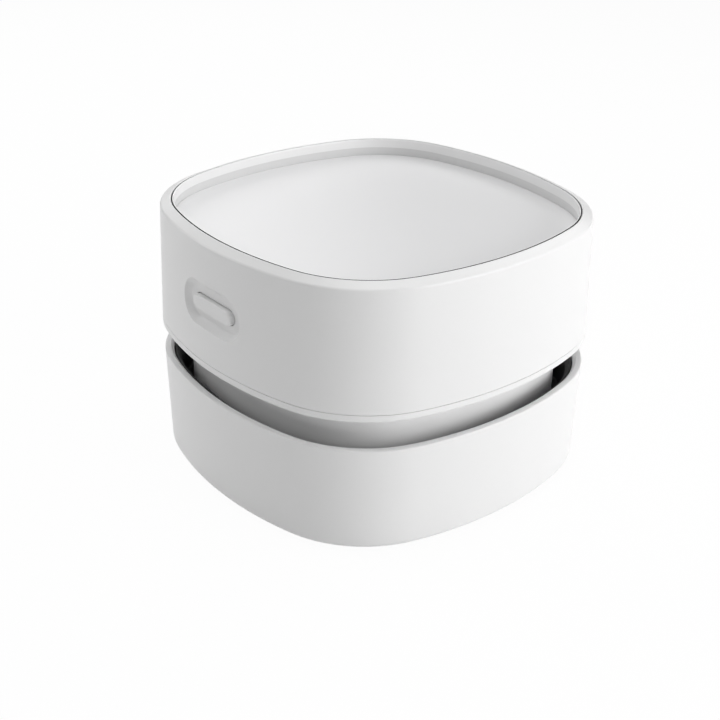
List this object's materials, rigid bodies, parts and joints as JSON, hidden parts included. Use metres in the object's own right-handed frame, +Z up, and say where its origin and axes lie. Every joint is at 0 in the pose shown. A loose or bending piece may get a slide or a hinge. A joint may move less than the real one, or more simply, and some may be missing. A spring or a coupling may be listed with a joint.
{
  "type": "desktop mini vacuum cleaner",
  "caption": "Palm-sized rounded-square desk vacuum: a head with push button, motor and fan lifts off a shallow dust cup; air leaves through the gap between them.",
  "frame": {"origin": "on the desk, under the middle of the cup, at the underside of the feet", "axes": "+Z up out of the top tray; the button is on the -Y side; the charging socket is on the -X side"},
  "size_m": [0.086, 0.086, 0.0589],
  "materials": {
    "white_shell": "soft satin white moulding",
    "white_panel": "smooth glossy pale panel",
    "pale_neck": "satin pale grey",
    "black_plastic": "satin black moulding",
    "grey_plastic": "plain grey moulding",
    "black_rubber": "soft matt rubber",
    "bristle": "fine nylon bristle",
    "filter_paper": "pleated filter paper",
    "foam": "open foam",
    "steel": "plated sheet steel",
    "dark_screw": "blackened screw steel",
    "brass": "turned brass",
    "cell_sleeve": "shrink sleeve",
    "circuit_board": "solder resist",
    "chip": "moulded chip",
    "red_lead": "lead insulation",
    "black_lead": "lead insulation"
  },
  "bodies": {
    "cup": {"cup_shell": "white_shell", "dust_bin": "black_plastic", "nozzle": "black_plastic", "brush_ring": "bristle", "foot_pad_1": "black_rubber", "foot_pad_2": "black_rubber", "foot_pad_3": "black_rubber", "foot_pad_4": "black_rubber", "cup_screw_1": "dark_screw", "cup_screw_2": "dark_screw", "cup_screw_3": "dark_screw", "cup_screw_4": "dark_screw", "seal_ring": "black_rubber"},
    "head": {"neck": "pale_neck", "filter_frame": "grey_plastic", "filter_paper": "filter_paper", "fan_shroud": "grey_plastic", "head_base": "white_shell", "motor_gasket": "black_rubber", "motor_can": "steel", "motor_end_cap": "black_plastic", "motor_clamp": "steel", "clamp_screw_1": "dark_screw", "clamp_screw_2": "dark_screw", "case_screw_1": "dark_screw", "case_screw_2": "dark_screw", "case_screw_3": "dark_screw", "case_screw_4": "dark_screw", "battery_cell": "cell_sleeve", "battery_cradle": "black_plastic", "battery_pad": "foam", "main_board": "circuit_board", "control_chip": "chip", "switch_body": "black_plastic", "charge_board": "circuit_board", "usb_socket": "steel", "upper_shell": "white_shell", "top_tray": "white_shell", "top_panel": "white_panel", "battery_red_lead": "red_lead", "battery_black_lead": "black_lead", "motor_red_lead": "red_lead", "motor_black_lead": "black_lead", "charge_red_lead": "red_lead", "charge_black_lead": "black_lead"},
    "rotor": {"impeller": "grey_plastic", "impeller_collar": "brass", "motor_shaft": "steel"},
    "button": {"power_button": "white_shell"},
    "plunger": {"switch_plunger": "grey_plastic"}
  },
  "joints": [
    {"name": "head_lift", "type": "slide", "parent": "cup", "child": "head", "axis": [0, 0, 1], "range_m": [0, 0.04]},
    {"name": "fan_spin", "type": "hinge", "parent": "head", "child": "rotor", "pos_m": [0, 0, 0.03], "axis": [0, 0, 1], "continuous": true},
    {"name": "button_press", "type": "slide", "parent": "head", "child": "button", "axis": [0, 1, 0], "range_m": [0, 0.0008], "stiffness_N_per_m": 1500},
    {"name": "plunger_press", "type": "slide", "parent": "head", "child": "plunger", "axis": [0, 1, 0], "range_m": [0, 0.0005]}
  ],
  "couplings": [
    {"joint": "plunger_press", "follows": "button_press", "ratio": 0.625}
  ]
}
